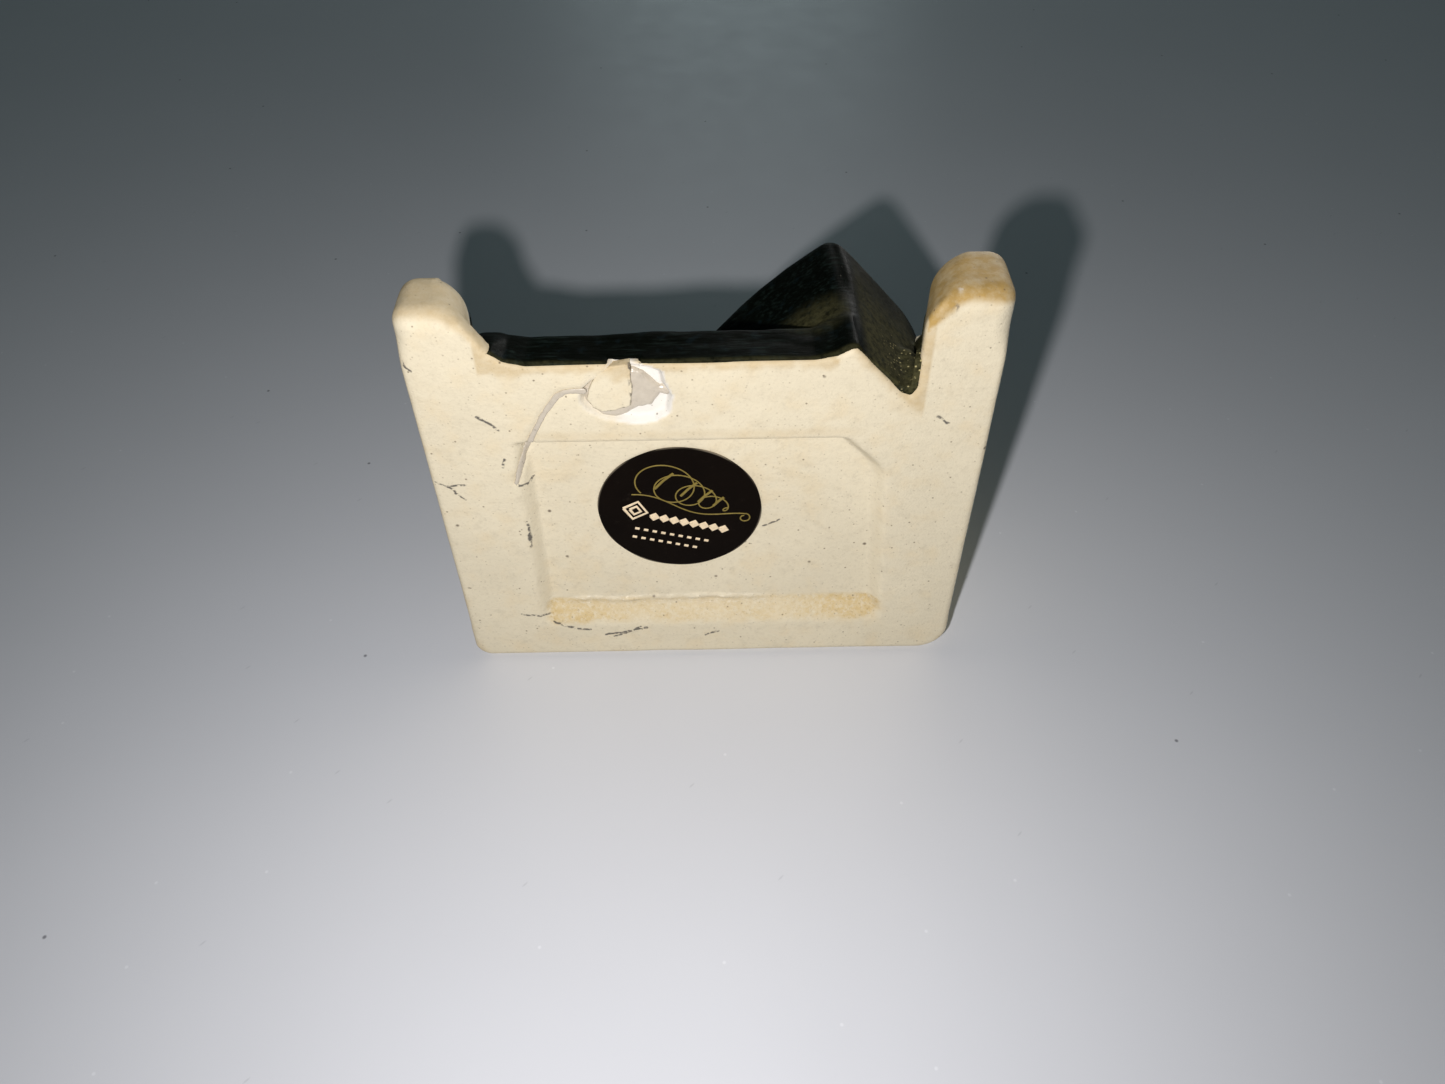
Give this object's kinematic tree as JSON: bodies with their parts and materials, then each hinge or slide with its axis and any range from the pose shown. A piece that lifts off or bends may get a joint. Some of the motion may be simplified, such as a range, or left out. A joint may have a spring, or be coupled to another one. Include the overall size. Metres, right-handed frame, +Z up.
{
  "type": "ceramic cat figurine",
  "caption": "Small ceramic figurine of a black cat lounging on a cream sofa, with a flat underside, a recessed base and low rounded arms.",
  "frame": {"origin": "middle of the underside, at the plane that the figurine rests on", "axes": "+Z up, -Y towards the front that the cat faces, +X to the right of someone facing the front"},
  "size_m": [0.082, 0.0732, 0.059],
  "materials": {
    "bisque": "unglazed cream casting, matt, tan stain at the ends of the arms and along the edges",
    "cushion_bisque": "unglazed casting with a thin warm wash",
    "cat_paint": "cold-painted matt black over the casting, brushed, dusty and rubbed on ridges",
    "eye_enamel": "gloss enamel dot with a dark slit",
    "nose_enamel": "gloss enamel dot",
    "label_paper": "coated black paper with a gold ornament",
    "glue": "hardened clear glue over white plaster dust"
  },
  "bodies": {
    "root": {"base": "bisque", "arm_left": "bisque", "arm_right": "bisque", "backrest": "bisque", "seat_cushion": "cushion_bisque", "cat_torso": "cat_paint", "cat_head": "cat_paint", "cat_ear_left": "cat_paint", "cat_ear_right": "cat_paint", "cat_eye_left": "eye_enamel", "cat_eye_right": "eye_enamel", "cat_nose": "nose_enamel", "cat_foreleg_left": "cat_paint", "cat_foreleg_right": "cat_paint", "cat_hind_leg": "cat_paint", "cat_tail": "cat_paint", "chip_fragment": "bisque", "glue_fill": "glue", "paper_label": "label_paper"}
  },
  "joints": []
}
